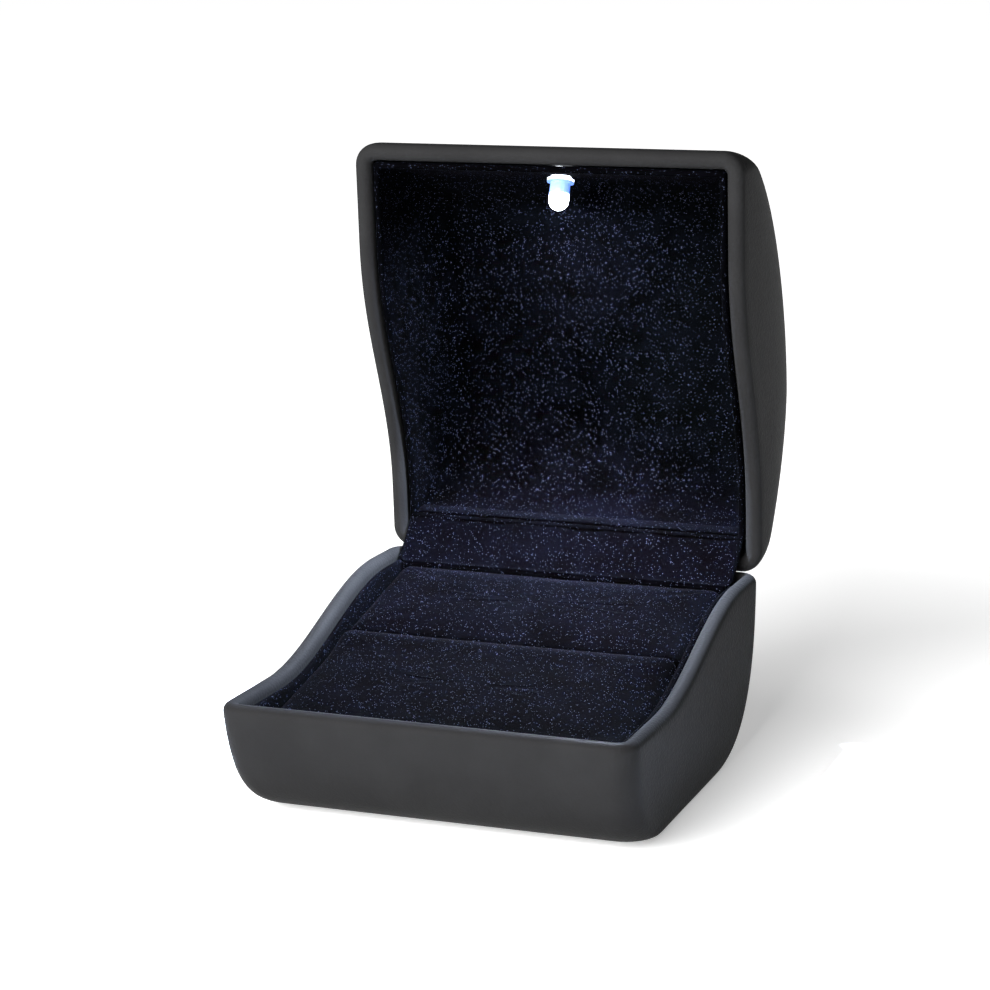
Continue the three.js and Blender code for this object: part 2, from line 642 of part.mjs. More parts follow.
add(lid, 'lid_shell', lidShell(), 'shell');
add(lid, 'lid_tray', lidTray(), 'velvet');
add(lid, 'lamp_led', lamp(), 'lens');
add(lid, 'lamp_wire_black', wire(-WIRE_X, WIRE_WALL.black), 'moulding');
add(lid, 'lamp_wire_red', wire(WIRE_X, WIRE_WALL.red), 'red');
add(lid, 'reed_switch', reed(), 'lens');
add(lid, 'circuit_board', block(
  -BOARD.halfW,
  BOARD.halfW,
  BOARD.y0,
  BOARD.y1,
  PART_BACK + BOARD.rise,
  PART_BACK + BOARD.rise + BOARD.thick,
), 'board');
add(lid, 'cell_holder', holder(), 'moulding');
add(lid, 'coin_cell_left', cell(-CELL.x), 'steel');
add(lid, 'coin_cell_right', cell(CELL.x), 'steel');
add(lid, 'cell_strap', block(
  -STRAP.halfW,
  STRAP.halfW,
  HOLDER.y - STRAP.halfD,
  HOLDER.y + STRAP.halfD,
  PART_BACK + STRAP.rise,
  PART_BACK + STRAP.rise + STRAP.thick,
), 'steel');

for (const [side, x] of HINGES) {
  add(box, `hinge_base_leaf_${side}`, baseLeaf(x), 'steel');
  add(lid, `hinge_lid_leaf_${side}`, lidLeaf(x), 'steel');
  const pin = rod(PIN_R, HINGE_HALF * 2, 10).rotateZ(90 * DEG).translate(x, HINGE_Y, PART_BACK);
  add(box, `hinge_pin_${side}`, pin, 'steel');
  screwXs(x).forEach((at) => {
    const name = `${side}_${Math.abs(at) > HINGE_X ? 'outer' : 'inner'}`;
    add(box, `base_screw_${name}`, screw(at, BASE_SEAT), 'steel');
    add(lid, `lid_screw_${name}`, screw(at, LID_SEAT), 'steel');
  });
}

export default box;
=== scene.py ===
import json
import logging
import math
from collections.abc import Callable
from dataclasses import dataclass
from enum import Enum

import bpy
import numpy as np
from mathutils import Matrix, Vector

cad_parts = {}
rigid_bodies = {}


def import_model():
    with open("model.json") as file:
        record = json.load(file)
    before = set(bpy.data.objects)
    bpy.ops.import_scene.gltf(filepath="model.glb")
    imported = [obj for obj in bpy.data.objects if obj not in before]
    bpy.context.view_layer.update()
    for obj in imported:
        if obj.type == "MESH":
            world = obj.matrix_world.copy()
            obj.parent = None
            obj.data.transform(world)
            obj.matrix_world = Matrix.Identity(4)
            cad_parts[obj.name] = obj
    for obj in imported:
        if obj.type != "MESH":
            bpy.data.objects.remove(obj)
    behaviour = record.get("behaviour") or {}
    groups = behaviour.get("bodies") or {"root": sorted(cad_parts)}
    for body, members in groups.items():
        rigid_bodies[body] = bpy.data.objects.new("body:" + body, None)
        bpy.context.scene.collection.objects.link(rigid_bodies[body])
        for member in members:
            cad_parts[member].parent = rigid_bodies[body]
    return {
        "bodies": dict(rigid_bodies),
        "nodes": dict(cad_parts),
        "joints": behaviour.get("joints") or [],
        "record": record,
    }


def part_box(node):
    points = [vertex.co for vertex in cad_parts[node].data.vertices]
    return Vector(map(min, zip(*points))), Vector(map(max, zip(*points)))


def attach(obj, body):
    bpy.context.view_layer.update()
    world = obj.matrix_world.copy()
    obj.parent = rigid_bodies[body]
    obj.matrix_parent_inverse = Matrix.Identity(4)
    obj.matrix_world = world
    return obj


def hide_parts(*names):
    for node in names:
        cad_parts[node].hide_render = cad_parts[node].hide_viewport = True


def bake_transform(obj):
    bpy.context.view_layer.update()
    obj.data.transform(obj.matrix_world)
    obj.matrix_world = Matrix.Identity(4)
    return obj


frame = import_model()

log = logging.getLogger("ring_box")
MM = 0.001
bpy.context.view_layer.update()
HINGE_PLACES = (-16, 16)
NOTCH_HALF_WIDTH = 5
NOTCH_REACH = 4.4
NOTCH_HALF_HEIGHT = 1.8
Along = Callable[[np.ndarray], np.ndarray]


# ---------- finishes ----------
class Nodes:
    """A small helper that adds shader nodes to one material and joins them."""

    def __init__(self, name: str) -> None:
        """Starts a material with one Principled shader.

        Args:
            name: the material's name.
        """
        self.material = bpy.data.materials.new(name)
        self.material.use_nodes = True
        self.tree = self.material.node_tree
        self.shader = self.tree.nodes["Principled BSDF"]
        self.place = self.tree.nodes.new("ShaderNodeTexCoord").outputs["Object"]

    def add(self, kind: str, inputs: dict | None = None, **settings) -> bpy.types.Node:
        """Adds a node.

        Args:
            kind: the node's type name.
            inputs: socket name or number to a value or to another node's output.
            settings: the node's own properties.

        Returns:
            The new node.
        """
        node = self.tree.nodes.new(kind)
        for key, value in settings.items():
            setattr(node, key, value)
        for key, value in (inputs or {}).items():
            self.put(node, key, value)
        return node

    def put(self, node: bpy.types.Node, key: str | int, value: object) -> None:
        """Sets one input, or links it where the value is an output.

        Args:
            node: the node whose input it is.
            key: the input's name or number.
            value: a value, or an output socket.
        """
        if isinstance(value, bpy.types.NodeSocket):
            self.tree.links.new(value, node.inputs[key])
        else:
            node.inputs[key].default_value = value

    def ramp(self, factor: bpy.types.NodeSocket, low: float, high: float) -> bpy.types.NodeSocket:
        """Stretches low..high to 0..1.

        Args:
            factor: the value that is stretched.
            low: the value that becomes 0.
            high: the value that becomes 1.

        Returns:
            The stretched value's socket.
        """
        return self.add("ShaderNodeMapRange", {0: factor, 1: low, 2: high}).outputs[0]

    def mix(self, factor: object, a: object, b: object) -> bpy.types.NodeSocket:
        """Mixes two colours.

        Args:
            factor: 0 for a, 1 for b.
            a: a colour or a socket.
            b: a colour or a socket.

        Returns:
            The mixed colour's socket.
        """
        node = self.add("ShaderNodeMix", data_type="RGBA")
        for index, value in ((0, factor), (6, a), (7, b)):
            self.put(node, index, value)
        return node.outputs[2]

    def noise(self, scale: float, detail: float = 2.0) -> bpy.types.NodeSocket:
        """A noise value over the piece.

        Args:
            scale: cells in a metre.
            detail: octaves.

        Returns:
            The value's socket.
        """
        inputs = {"Vector": self.place, "Scale": scale, "Detail": detail}
        return self.add("ShaderNodeTexNoise", inputs).outputs[0]

    def bump(self, height: bpy.types.NodeSocket, strength: float, distance: float) -> None:
        """Gives the shader a bumpy surface.

        Args:
            height: the height value.
            strength: how strongly it shows.
            distance: the height of the bumps in metres.
        """
        inputs = {"Height": height, "Strength": strength, "Distance": distance}
        self.put(self.shader, "Normal", self.add("ShaderNodeBump", inputs).outputs[0])


@dataclass(frozen=True)
class Leatherette:
    """Satin black skin with a fine pebbled grain."""

    low: tuple = (0.012, 0.012, 0.0123, 1.0)
    high: tuple = (0.018, 0.018, 0.0183, 1.0)
    grain: float = 2600.0
    roughness: float = 0.4
    relief: float = 0.00006

    def make(self) -> bpy.types.Material:
        """Builds the material.

        Returns:
            The material.
        """
        n = Nodes("leatherette")
        cells = n.add("ShaderNodeTexVoronoi", {"Vector": n.place, "Scale": self.grain})
        soft = n.noise(self.grain * 0.6, 3.0)
        pebbles = n.add("ShaderNodeMath", {0: cells.outputs[0], 1: soft}, operation="ADD").outputs[0]
        n.put(n.shader, "Base Color", n.mix(n.noise(140.0), self.low, self.high))
        rough = n.add("ShaderNodeMapRange", {0: soft, 3: self.roughness - 0.05, 4: self.roughness + 0.08})
        n.put(n.shader, "Roughness", rough.outputs[0])
        n.bump(pebbles, 0.55, self.relief)
        n.put(n.shader, "Specular IOR Level", 0.005)
        return n.material


@dataclass(frozen=True)
class Velvet:
    """Black pile with a blue cast, and fine brighter flecks painted into its colour as painted glints of the
    fibres.
    """

    name: str = "velvet"
    ground: tuple = (0.0002, 0.0002, 0.0003, 1.0)
    pile: tuple = (0.0007, 0.00076, 0.0014, 1.0)
    painted_glint: tuple = (0.06, 0.07, 0.12, 1.0)
    glint_density: float = 11000.0
    share: float = 0.02
    sheen: float = 0.002

    def make(self) -> bpy.types.Material:
        """Builds the material.

        Returns:
            The material.
        """
        n = Nodes(self.name)
        cloudy = n.ramp(n.noise(260.0, 4.0), 0.35, 0.7)
        inputs = {"Vector": n.place, "Scale": self.glint_density}
        # painted glints: a small share of cells is painted brighter, standing in for the sparkle of the
        # fibres
        cells = n.add("ShaderNodeTexVoronoi", inputs)
        tone = n.add("ShaderNodeSeparateColor", {0: cells.outputs["Color"]}).outputs[0]
        glint_mask = n.ramp(tone, 1 - self.share, 1 - self.share * 0.4)
        nap = n.mix(cloudy, self.ground, self.pile)
        n.put(n.shader, "Base Color", n.mix(glint_mask, nap, self.painted_glint))
        n.bump(n.noise(5200.0, 3.0), 0.5, 0.00012)
        for key, value in (("Roughness", 0.95), ("Sheen Weight", self.sheen), ("Sheen Roughness", 0.35),
                           ("Sheen Tint", (0.55, 0.62, 1.0, 1.0)), ("Specular IOR Level", 0.01)):
            n.put(n.shader, key, value)
        return n.material


@dataclass(frozen=True)
class Plain:
    """A moulded, plated or printed part with faint wear."""

    name: str
    colour: tuple
    metal: float = 0.0
    roughness: float = 0.5
    spread: float = 0.12
    scale: float = 900.0

    def make(self) -> bpy.types.Material:
        """Builds the material.

        Returns:
            The material.
        """
        n = Nodes(self.name)
        dark = tuple(c * 0.75 for c in self.colour[:3]) + (1.0,)
        n.put(n.shader, "Base Color", n.mix(n.noise(self.scale), dark, self.colour))
        low, high = self.roughness, self.roughness + self.spread
        rough = n.add("ShaderNodeMapRange", {0: n.noise(self.scale * 3), 3: low, 4: high})
        n.put(n.shader, "Roughness", rough.outputs[0])
        n.put(n.shader, "Metallic", self.metal)
        n.bump(n.noise(self.scale * 4), 0.2, 0.00002)
        return n.material


@dataclass(frozen=True)
class LampLens:
    """Clear lamp that glows most at its rounded tip and again at its flange."""

    tip: tuple
    strength: float = 24.0
    flange_strength: float = 3.5
    glow_start: float = 1.9 * MM
    glow_full: float = 1.45 * MM
    flange_start: float = 3.45 * MM
    flange_full: float = 3.6 * MM

    def make(self) -> bpy.types.Material:
        """Builds the material.

        Returns:
            The material.
        """
        n = Nodes("lamp_lens")
        offset = n.add("ShaderNodeVectorMath", {0: n.place, 1: self.tip}, operation="DISTANCE")
        away = offset.outputs["Value"]
        near = n.ramp(away, self.glow_start, self.glow_full)
        flange = n.ramp(away, self.flange_start, self.flange_full)
        faint = n.noise(1500.0)
        n.put(n.shader, "Base Color", n.mix(faint, (0.25, 0.4, 0.85, 1.0), (0.4, 0.55, 0.95, 1.0)))
        white = n.add("ShaderNodeMath", {0: near, 1: flange}, operation="MAXIMUM").outputs[0]
        n.put(n.shader, "Emission Color", n.mix(white, (0.1, 0.26, 1.0, 1.0), (0.88, 0.93, 1.0, 1.0)))
        tip = n.add("ShaderNodeMapRange", {0: near, 3: 0.7, 4: self.strength}).outputs[0]
        sums = {0: flange, 1: self.flange_strength, 2: tip}
        power = n.add("ShaderNodeMath", sums, operation="MULTIPLY_ADD")
        n.put(n.shader, "Emission Strength", power.outputs[0])
        n.put(n.shader, "Roughness", 0.12)
        return n.material


class Finish(Enum):
    """The record's material slots that the shown pieces take."""

    SKIN = "leatherette"
    VELVET = "velvet"
    CARD = "card"
    STEEL = "steel"
    LENS = "lamp_lens"
    GLASS = "reed_glass"
    BOARD = "circuit_board"
    BLACK = "black_plastic"
    RED = "red_plastic"


# ---------- meshes ----------
def closed_skin(name: str, loops: np.ndarray, first: tuple, last: tuple) -> bpy.types.Object:
    """Skins a stack of loops and closes each end with a point.

    Args:
        name: the piece's name.
        loops: (rows, points, 3) in millimetres.
        first: the point that closes the first loop.
        last: the point that closes the last loop.

    Returns:
        The new object, smooth shaded and facing outwards.
    """
    rows, count, _ = loops.shape
    points = np.concatenate([[first], loops.reshape(-1, 3), [last]]) * MM
    i = np.arange(count)
    j = (i + 1) % count
    start = 1 + np.arange(rows - 1)[:, None] * count
    quads = np.stack([start + i, start + j, start + count + j, start + count + i], -1).reshape(-1, 4)
    cap0 = np.stack([np.zeros(count, int), 1 + j, 1 + i], -1)
    top = 1 + (rows - 1) * count
    cap1 = np.stack([np.full(count, len(points) - 1), top + i, top + j], -1)
    a, b, c, d = (points[quads[:, k]] for k in range(4))
    volume = np.einsum("ij,ij->", a, np.cross(b, c)) + np.einsum("ij,ij->", a, np.cross(c, d))
    if volume < 0:
        quads, cap0, cap1 = quads[:, ::-1], cap0[:, ::-1], cap1[:, ::-1]
    return mesh_object(name, points, [quads, cap0, cap1])


def mesh_object(name: str, points: np.ndarray, faces: list) -> bpy.types.Object:
    """Makes a smooth shaded mesh object.

    Args:
        name: the object's name.
        points: (n, 3) in metres.
        faces: arrays of faces, each array with its own number of corners.

    Returns:
        The new object.
    """
    mesh = bpy.data.meshes.new(name)
    mesh.from_pydata(points.tolist(), [], [f for part in faces for f in part.tolist()])
    mesh.validate()
    mesh.shade_smooth()
    obj = bpy.data.objects.new(name, mesh)
    bpy.context.scene.collection.objects.link(obj)
    return obj


def carve(obj: bpy.types.Object, cutters: list) -> None:
    """Cuts other solids out of a piece, then removes them.

    Args:
        obj: the piece that is cut.
        cutters: the objects that are taken away.
    """
    for cutter in cutters:
        step = obj.modifiers.new("carve", "BOOLEAN")
        step.operation, step.solver, step.object = "DIFFERENCE", "EXACT", cutter
    made = bpy.data.meshes.new_from_object(obj.evaluated_get(bpy.context.evaluated_depsgraph_get()))
    obj.modifiers.clear()
    obj.data = made
    made.name = obj.name
    made.set_sharp_from_angle(angle=math.radians(50))
    for cutter in cutters:
        bpy.data.objects.remove(cutter)


def block(low: tuple, high: tuple) -> bpy.types.Object:
    """A box shaped cutter.

    Args:
        low: its lowest corner in millimetres.
        high: its highest corner in millimetres.

    Returns:
        The cutter.
    """
    corners = np.array([[(low, high)[k][a] for a, k in enumerate((x, y, z))]
                        for x in (0, 1) for y in (0, 1) for z in (0, 1)], float) * MM
    faces = np.array([[0, 1, 3, 2], [4, 6, 7, 5], [0, 4, 5, 1], [2, 3, 7, 6], [0, 2, 6, 4], [1, 5, 7, 3]])
    return mesh_object("cutter", corners, [faces])


# ---------- the shape the two halves share ----------
@dataclass(frozen=True)
class Form:
    """Sizes in millimetres of the box's two shells, which meet on one wave-shaped parting line."""

    half_w: float = 30.0
    half_d: float = 33.0
    corner: float = 3.2
    growth: float = 0.25
    part_back: float = 26.8
    part_drop: float = 9.2
    drop_start: float = 10.0
    drop_length: float = 40.0
    half_gap: float = 0.15
    wall: float = 2.5
    floor: float = 2.4
    side_draw: float = 1.8
    end_draw: float = 18.0
    base_power: float = 2.7
    lid_draw: float = 3.2
    lid_power: float = 2.4
    crown: float = 1.5
    peak_back: float = 24.0
    peak_rise: float = 25.5
    back_start: float = 4.4
    front_start: float = -8.8
    back_power: float = 1.6
    front_power: float = 1.95
    gap: float = 0.3
    tray: float = 0.9
    tray_set: float = 1.3
    cabin: float = 3.9
    rear_room: float = 1.8
    open_angle: float = 85.0

    @property
    def hinge(self) -> tuple:
        """Where the hinge line is, as y and z.

        Returns:
            The two distances.
        """
        return self.half_d - 0.6, self.part_back

    def parting(self, y: np.ndarray) -> np.ndarray:
        """Height of the parting line: level at the back, half a cosine wave down, level at the front.

        Args:
            y: distances along the box.

        Returns:
            The heights.
        """
        along = np.clip((self.half_d - y - self.drop_start) / self.drop_length, 0, 1)
        return self.part_back - self.part_drop * (1 - np.cos(math.pi * along)) / 2

    @staticmethod
    def draw(depth: float, power: float, fraction: np.ndarray) -> np.ndarray:
        """How far a wall has come in: a quarter of a superellipse.

        Args:
            depth: the whole way in.
            power: the superellipse's power.
            fraction: 0 where the wall is upright, 1 where it has turned over.

        Returns:
            The distances.
        """
        return depth * (1 - (1 - np.clip(fraction, 0, 1) ** power) ** (1 / power))

    def base_inset(self, z: np.ndarray) -> np.ndarray:
        """Inset of the base's side walls and end walls at a height.

        Args:
            z: the heights.

        Returns:
            (2, n): the side walls' and the end walls' insets.
        """
        f = 1 - z / self.part_back
        return np.stack([self.draw(self.side_draw, self.base_power, f),
                         self.draw(self.end_draw, self.base_power, f)])

    def base_rim(self, y: np.ndarray) -> np.ndarray:
        """Height where the base rim's rounding starts.

        Args:
            y: distances along the box.

        Returns:
            The heights.
        """
        return self.parting(y) - self.half_gap - self.wall / 2

    def lid_rim(self, y: np.ndarray) -> np.ndarray:
        """Height where the lid rim's rounding starts.

        Args:
            y: distances along the box.

        Returns:
            The heights.
        """
        return self.parting(y) + self.half_gap + self.wall / 2

    def cavity_inset(self, z: np.ndarray, y: np.ndarray, off: float) -> np.ndarray:
        """Insets of a surface that lies inside the base's cavity.

        Args:
            z: the heights.
            y: distances along the box.
            off: how far inside the cavity it lies.

        Returns:
            (2, n) insets.
        """
        rim = self.base_rim(y)
        share = np.clip((z - off - self.floor) / (rim - self.floor), 0, 1)
        return self.base_inset(rim * share) + self.wall + off

    def arch(self, y: np.ndarray, off: float = 0.0, sunk: float = 0.0) -> np.ndarray:
        """Height of the lid's arch: two quarter superellipses that meet at its peak.

        Args:
            y: distances along the box.
            off: how far inside the outer skin.
            sunk: how much lower at the peak.

        Returns:
            The heights.
        """
        ahead = self.half_d - y - self.peak_back
        back = ahead < 0
        reach = np.where(back, self.peak_back, 2 * self.half_d - self.peak_back) - off
        start = np.where(back, self.back_start, self.front_start)
        power = np.where(back, self.back_power, self.front_power)
        part = np.minimum(np.abs(ahead) / reach, 1)
        rise = self.peak_rise - off - sunk - start
        return self.part_back + start + rise * (1 - part ** power) ** (1 / power)

    def stations(self, arc: int = 9, side: int = 44, end: int = 20) -> np.ndarray:
        """Points round a rounded rectangle, as corner side in x and y and the angle on the arc.

        Args:
            arc: points on each corner.
            side: points on each side wall.
            end: points on each end wall.

        Returns:
            (n, 3) stations.
        """
        parts = []
        for quadrant, (sx, sy) in enumerate(((1, 1), (-1, 1), (-1, -1), (1, -1))):
            along = side if quadrant % 2 == 0 else end
            lag = 2 * (1 - np.arange(along) / along)
            turned = np.full(along, quadrant * math.pi / 2)
            level = np.ones(along)
            if quadrant % 2 == 0:
                parts.append(np.stack([sx * level, sy - lag * sy, turned], 1))
            else:
                parts.append(np.stack([sx - lag * sx, sy * level, turned], 1))
            bend = (quadrant + np.arange(arc) / arc) * math.pi / 2
            parts.append(np.stack([np.full(arc, sx), np.full(arc, sy), bend], 1))
        return np.concatenate(parts)

    def place(self, insets: np.ndarray, offset: float, rear_room: float) -> tuple:
        """Points of one loop in plan.

        Args:
            insets: (2, n) insets of the side walls and the end walls.
            offset: how far inside the outer skin, which tightens the corners.
            rear_room: how far the rear wall stands forward of the full plan's.

        Returns:
            Two arrays, x and y.
        """
        s = self.stations()
        half_d = self.half_d - rear_room / 2
        room = np.minimum(self.half_w - insets[0], half_d - insets[1])
        wanted = self.corner - offset + self.growth * (insets.mean(0) - offset)
        r = np.minimum(np.maximum(wanted, 0.6), room * 0.7)
        x = s[:, 0] * (self.half_w - insets[0] - r) + r * np.cos(s[:, 2])
        y = s[:, 1] * (half_d - insets[1] - r) + r * np.sin(s[:, 2]) - rear_room / 2
        return x, y

    def loop(self, inset_of: Along, height_of: Along, offset: float,
             rear_room: float = 0.0) -> np.ndarray:
        """One loop of a surface.

        Args:
            inset_of: y to (2, n) insets.
            height_of: y to heights.
            offset: how far inside the outer skin.
            rear_room: how far the rear wall stands forward.

        Returns:
            (n, 3) points.
        """
        flat = np.zeros((2, len(self.stations())))
        full_y = self.place(flat, 0.0, rear_room)[1]
        x, y = self.place(inset_of(full_y) + flat, offset, rear_room)
        return np.stack([x, y, height_of(y)], 1)

    def opened(self, points: np.ndarray) -> np.ndarray:
        """Turns points of the shut lid to where it stands open.

        Args:
            points: (..., 3) points of the shut lid.

        Returns:
            The points of the open lid.
        """
        hy, hz = self.hinge
        c, s = math.cos(math.radians(self.open_angle)), math.sin(math.radians(self.open_angle))
        y, z = points[..., 1] - hy, points[..., 2] - hz
        return np.stack([points[..., 0], hy + c * y + s * z, hz - s * y + c * z], -1)


def notch_cutters(form: Form) -> list:
    """Cutters for the two hinge notches, as the box stands shut.

    Args:
        form: the box's sizes.

    Returns:
        The two cutters.
    """
    y, z = form.hinge
    high = z + NOTCH_HALF_HEIGHT
    low = z - NOTCH_HALF_HEIGHT
    return [block((x - NOTCH_HALF_WIDTH, y - NOTCH_REACH, low),
                  (x + NOTCH_HALF_WIDTH, form.half_d + 1, high)) for x in HINGE_PLACES]


def eased(count: int, power: float) -> np.ndarray:
    """Steps from 0 to 1, closer together near 0.

    Args:
        count: how many.
        power: how much closer.

    Returns:
        The steps.
    """
    return np.linspace(0, 1, count) ** power


# ---------- the base ----------
@dataclass
class Base:
    """The base shell, its velvet tray and the notches that take the hinges."""

    form: Form
    finishes: dict
    rim_steps: int = 12
    wall_rows: int = 30

    def shell(self) -> bpy.types.Object:
        """The moulded shell: belly, rounded rim and inner wall.

        Returns:
            The piece.
        """
        f = self.form
        rows = eased(self.wall_rows, 1.9)
        outside = [f.loop(lambda y: f.base_inset(f.base_rim(y) * w),
                          lambda y: f.base_rim(y) * w, 0) for w in rows]
        turns = np.linspace(0, math.pi, self.rim_steps + 1)[1:-1]
        r = f.wall / 2
        rim = [f.loop(lambda y: f.base_inset(f.base_rim(y)) + r * (1 - math.cos(a)),
                      lambda y: f.base_rim(y) + r * math.sin(a), r * (1 - math.cos(a))) for a in turns]
        inside = [f.loop(lambda y: f.base_inset(f.base_rim(y) * w) + f.wall,
                         lambda y: f.floor + (f.base_rim(y) - f.floor) * w, f.wall) for w in rows[::-1]]
        piece = closed_skin("base_body", np.stack([*outside, *rim, *inside]), (0, 0, 0), (0, 0, f.floor))
        carve(piece, notch_cutters(f))
        return piece

    def tray(self) -> bpy.types.Object:
        """The velvet-lined tray, with a softly rounded top edge.

        Returns:
            The piece.
        """
        f = self.form
        half = f.tray / 2

        def top(y: np.ndarray) -> np.ndarray:
            """Height where the tray's rounded edge starts."""
            return f.parting(y) - f.half_gap - f.tray_set - half

        def wall(off: float, rows: np.ndarray) -> list:
            """Loops of one wall of the tray, from its floor to its edge."""
            return [f.loop(lambda y: f.cavity_inset(f.floor + off + (top(y) - f.floor - off) * w, y, off),
                           lambda y: f.floor + off + (top(y) - f.floor - off) * w,
                           f.wall + off, f.rear_room) for w in rows]

        rows = eased(22, 1.8)
        edge = [f.loop(lambda y: f.cavity_inset(top(y), y, f.gap + half * (1 - math.cos(a))),
                       lambda y: top(y) + half * math.sin(a),
                       f.wall + f.gap + half, f.rear_room) for a in np.linspace(0, math.pi, 8)[1:-1]]
        loops = [*wall(f.gap, rows), *edge, *wall(f.gap + f.tray, rows[::-1])]
        middle = -f.rear_room / 2
        return closed_skin("base_lining", np.stack(loops), (0, middle, f.floor + f.gap),
                           (0, middle, f.floor + f.gap + f.tray))

    def build(self) -> list:
        """Builds and dresses the base.

        Returns:
            Its pieces.
        """
        shell, tray = self.shell(), self.tray()
        for piece, finish, node in ((shell, Finish.SKIN, "base_shell"), (tray, Finish.VELVET, "base_tray")):
            dress(piece, self.finishes[finish])
            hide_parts(node)
            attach(piece, "base")
        return [shell, tray]


# ---------- the lid ----------
@dataclass
class Lid:
    """The domed lid shell and its velvet tray."""

    form: Form
    finishes: dict
    rows: int = 26

    def surface(self, off: float, sunk: float, crown: float, rear_room: float) -> list:
        """Loops of one lid surface, from the rim up the walls and in over the dome.

        Args:
            off: how far inside the outer skin.
            sunk: how much lower at the peak.
            crown: the rise of its middle.
            rear_room: how far its rear wall stands forward.

        Returns:
            The loops.
        """
        f = self.form
        rim = f.lid_rim
        up = 1 - eased(self.rows, 2.0)[::-1]
        wall = [f.loop(lambda y: f.base_inset(f.base_rim(y)) + off + f.draw(f.lid_draw, f.lid_power, w),
                       lambda y: rim(y) + (f.arch(y, off, sunk) - rim(y)) * w, off, rear_room) for w in up]
        reach = f.half_w - off - f.lid_draw
        cap = [f.loop(lambda y: np.full((2, 1), off + f.lid_draw + share * reach),
                      lambda y: f.arch(y, off, sunk) + crown * (1 - (1 - share) ** 2), off, rear_room)
               for share in np.linspace(0.04, 0.97, 24)]
        return wall + cap

    def peak(self, off: float, sunk: float, crown: float, rear_room: float) -> np.ndarray:
        """The point in the middle of a lid surface.

        Args:
            off: how far inside the outer skin.
            sunk: how much lower at the peak.
            crown: the rise of its middle.
            rear_room: how far its rear wall stands forward.

        Returns:
            The point, with the lid shut.
        """
        y = -rear_room / 2
        return np.array([0, y, float(self.form.arch(np.array(y), off, sunk)) + crown])

    def shell(self) -> bpy.types.Object:
        """The moulded lid.

        Returns:
            The piece, standing open.
        """
        f = self.form
        r = f.wall / 2
        outer = self.surface(0, 0, f.crown, 0)
        inner = self.surface(f.wall, 0, f.crown, 0)
        turns = np.linspace(0, math.pi, 13)[1:-1]
        rim = [f.loop(lambda y: f.base_inset(f.base_rim(y)) + r * (1 - math.cos(a)),
                      lambda y: f.lid_rim(y) - r * math.sin(a), r * (1 - math.cos(a))) for a in turns]
        loops = f.opened(np.stack([*outer[::-1], *rim, *inner]))
        first = f.opened(self.peak(0, 0, f.crown, 0))
        last = f.opened(self.peak(f.wall, 0, f.crown, 0))
        piece = closed_skin("lid_body", loops, tuple(first), tuple(last))
        cutters = notch_cutters(f)
        for cutter in cutters:
            turn_open(cutter, f)
        carve(piece, cutters)
        return piece

    def tray(self) -> bpy.types.Object:
        """The velvet tray that lines the lid.

        Returns:
            The piece, standing open.
        """
        f = self.form
        off = f.wall + f.gap
        half = f.tray / 2
        outer = self.surface(off, f.cabin, 0, f.rear_room)
        inner = self.surface(off + f.tray, f.cabin, 0, f.rear_room)
        edge = [f.loop(lambda y: f.base_inset(f.base_rim(y)) + off + half * (1 - math.cos(a)),
                       lambda y: f.lid_rim(y) - half * math.sin(a), off + half, f.rear_room)
                for a in np.linspace(0, math.pi, 8)[1:-1]]
        loops = f.opened(np.stack([*outer[::-1], *edge, *inner]))
        first = f.opened(self.peak(off, f.cabin, 0, f.rear_room))
        last = f.opened(self.peak(off + f.tray, f.cabin, 0, f.rear_room))
        return closed_skin("lid_lining", loops, tuple(first), tuple(last))

    def build(self) -> list:
        """Builds and dresses the lid.

        Returns:
            Its pieces.
        """
        shell, tray = self.shell(), self.tray()
        for piece, finish, node in ((shell, Finish.SKIN, "lid_shell"), (tray, Finish.VELVET, "lid_tray")):
            dress(piece, self.finishes[finish])
            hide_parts(node)
            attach(piece, "lid")
        return [shell, tray]


def turn_open(obj: bpy.types.Object, form: Form) -> None:
    """Turns an object's mesh with the lid, from shut to where it stands open.

    Args:
        obj: the object.
        form: the box's sizes.
    """
    y, z = (v * MM for v in form.hinge)
    turned = Matrix.Rotation(-math.radians(form.open_angle), 4, "X")
    obj.data.transform(Matrix.Translation((0, y, z)) @ turned @ Matrix.Translation((0, -y, -z)))


def dress(obj: bpy.types.Object, material: bpy.types.Material) -> None:
    """Gives a piece its material.

    Args:
        obj: the piece.
        material: its material.
    """
    obj.data.materials.clear()
    obj.data.materials.append(material)


